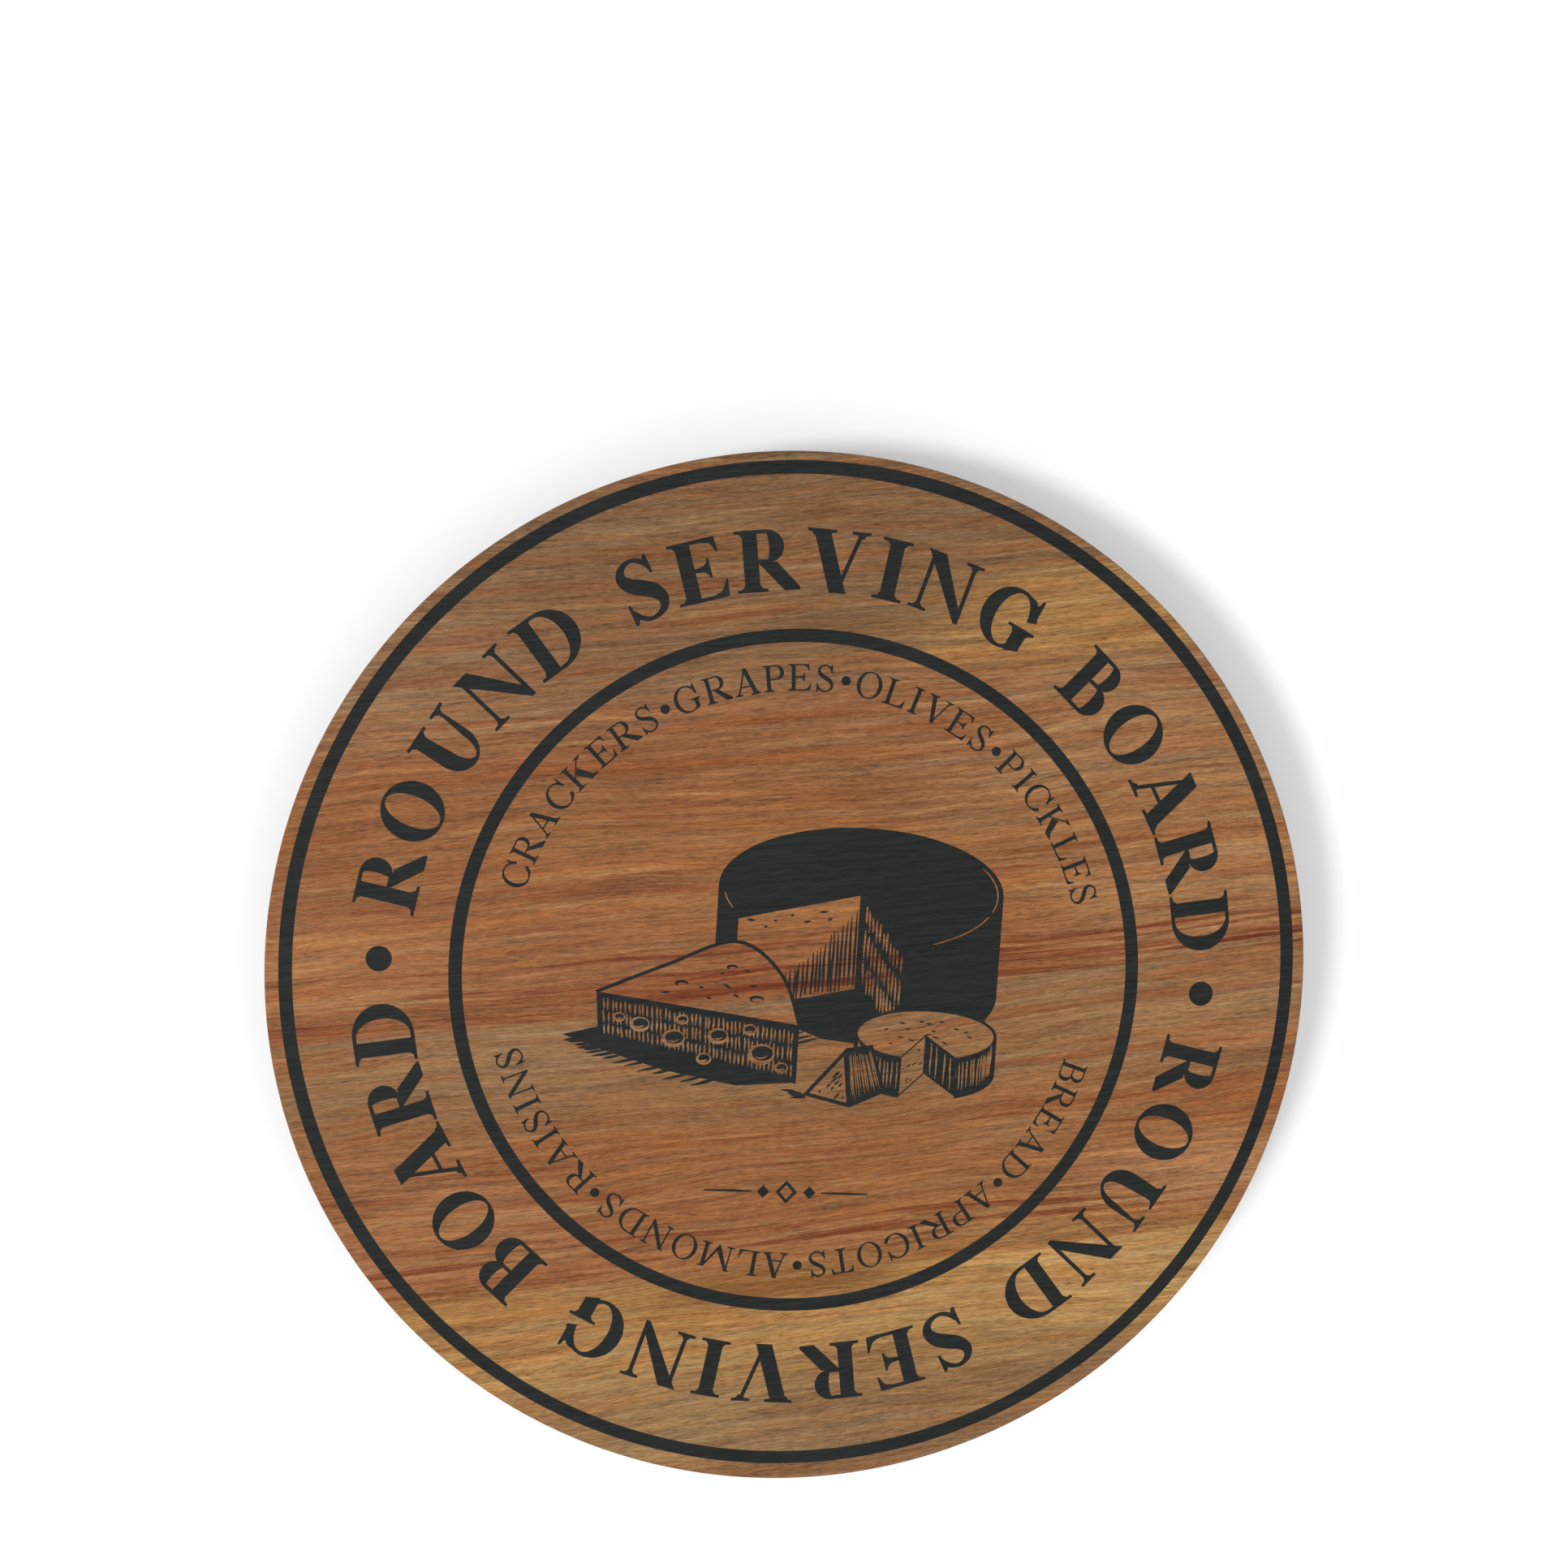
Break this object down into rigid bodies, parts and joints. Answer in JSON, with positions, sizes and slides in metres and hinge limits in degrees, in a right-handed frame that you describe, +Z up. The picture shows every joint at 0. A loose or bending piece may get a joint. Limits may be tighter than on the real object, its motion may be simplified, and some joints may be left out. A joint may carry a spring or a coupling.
{
  "type": "turntable cheese board",
  "caption": "Round edge-glued wooden serving board with a dark printed cheese design, turning on a ring bearing over a smaller wooden base with rubber feet.",
  "frame": {"origin": "on the turning axis, in the resting plane under the rubber feet", "axes": "+Z up along the turning axis; +X along the grain of the top, to the reader's right; +Y across the planks, towards the far plank, which is top_plank_1"},
  "size_m": [0.4, 0.4, 0.04],
  "materials": {
    "top_wood": "oiled, edge-glued hardwood planks with a visible long grain",
    "base_wood": "oiled hardwood, the same timber as the top",
    "print_ink": "thin screen-printed ink on the upper face, near black, the grain showing faintly through",
    "bearing_aluminium": "turned and satin anodised",
    "ball_steel": "polished bearing steel",
    "screw_steel": "bright zinc-plated steel",
    "cage_nylon": "natural moulded nylon",
    "foot_rubber": "matt moulded rubber"
  },
  "bodies": {
    "base": {"base_plank_1": "base_wood", "base_plank_2": "base_wood", "base_plank_3": "base_wood", "bearing_outer_ring": "bearing_aluminium", "base_screw_1": "screw_steel", "base_screw_2": "screw_steel", "base_screw_3": "screw_steel", "base_screw_4": "screw_steel", "rubber_foot_1": "foot_rubber", "rubber_foot_2": "foot_rubber", "rubber_foot_3": "foot_rubber", "rubber_foot_4": "foot_rubber"},
    "ball_ring": {"ball_cage": "cage_nylon", "bearing_ball_01": "ball_steel", "bearing_ball_02": "ball_steel", "bearing_ball_03": "ball_steel", "bearing_ball_04": "ball_steel", "bearing_ball_05": "ball_steel", "bearing_ball_06": "ball_steel", "bearing_ball_07": "ball_steel", "bearing_ball_08": "ball_steel", "bearing_ball_09": "ball_steel", "bearing_ball_10": "ball_steel", "bearing_ball_11": "ball_steel", "bearing_ball_12": "ball_steel", "bearing_ball_13": "ball_steel", "bearing_ball_14": "ball_steel", "bearing_ball_15": "ball_steel", "bearing_ball_16": "ball_steel"},
    "turntable": {"top_plank_1": "top_wood", "top_plank_2": "top_wood", "top_plank_3": "top_wood", "top_plank_4": "top_wood", "bearing_inner_ring": "bearing_aluminium", "top_screw_1": "screw_steel", "top_screw_2": "screw_steel", "top_screw_3": "screw_steel", "top_screw_4": "screw_steel"}
  },
  "joints": [
    {"name": "turntable_spin", "type": "hinge", "parent": "base", "child": "turntable", "pos_m": [0, 0, 0.02075], "axis": [0, 0, 1], "continuous": true},
    {"name": "ball_orbit", "type": "hinge", "parent": "base", "child": "ball_ring", "pos_m": [0, 0, 0.02075], "axis": [0, 0, 1], "continuous": true}
  ],
  "couplings": [
    {"joint": "ball_orbit", "follows": "turntable_spin", "ratio": 0.4821}
  ]
}
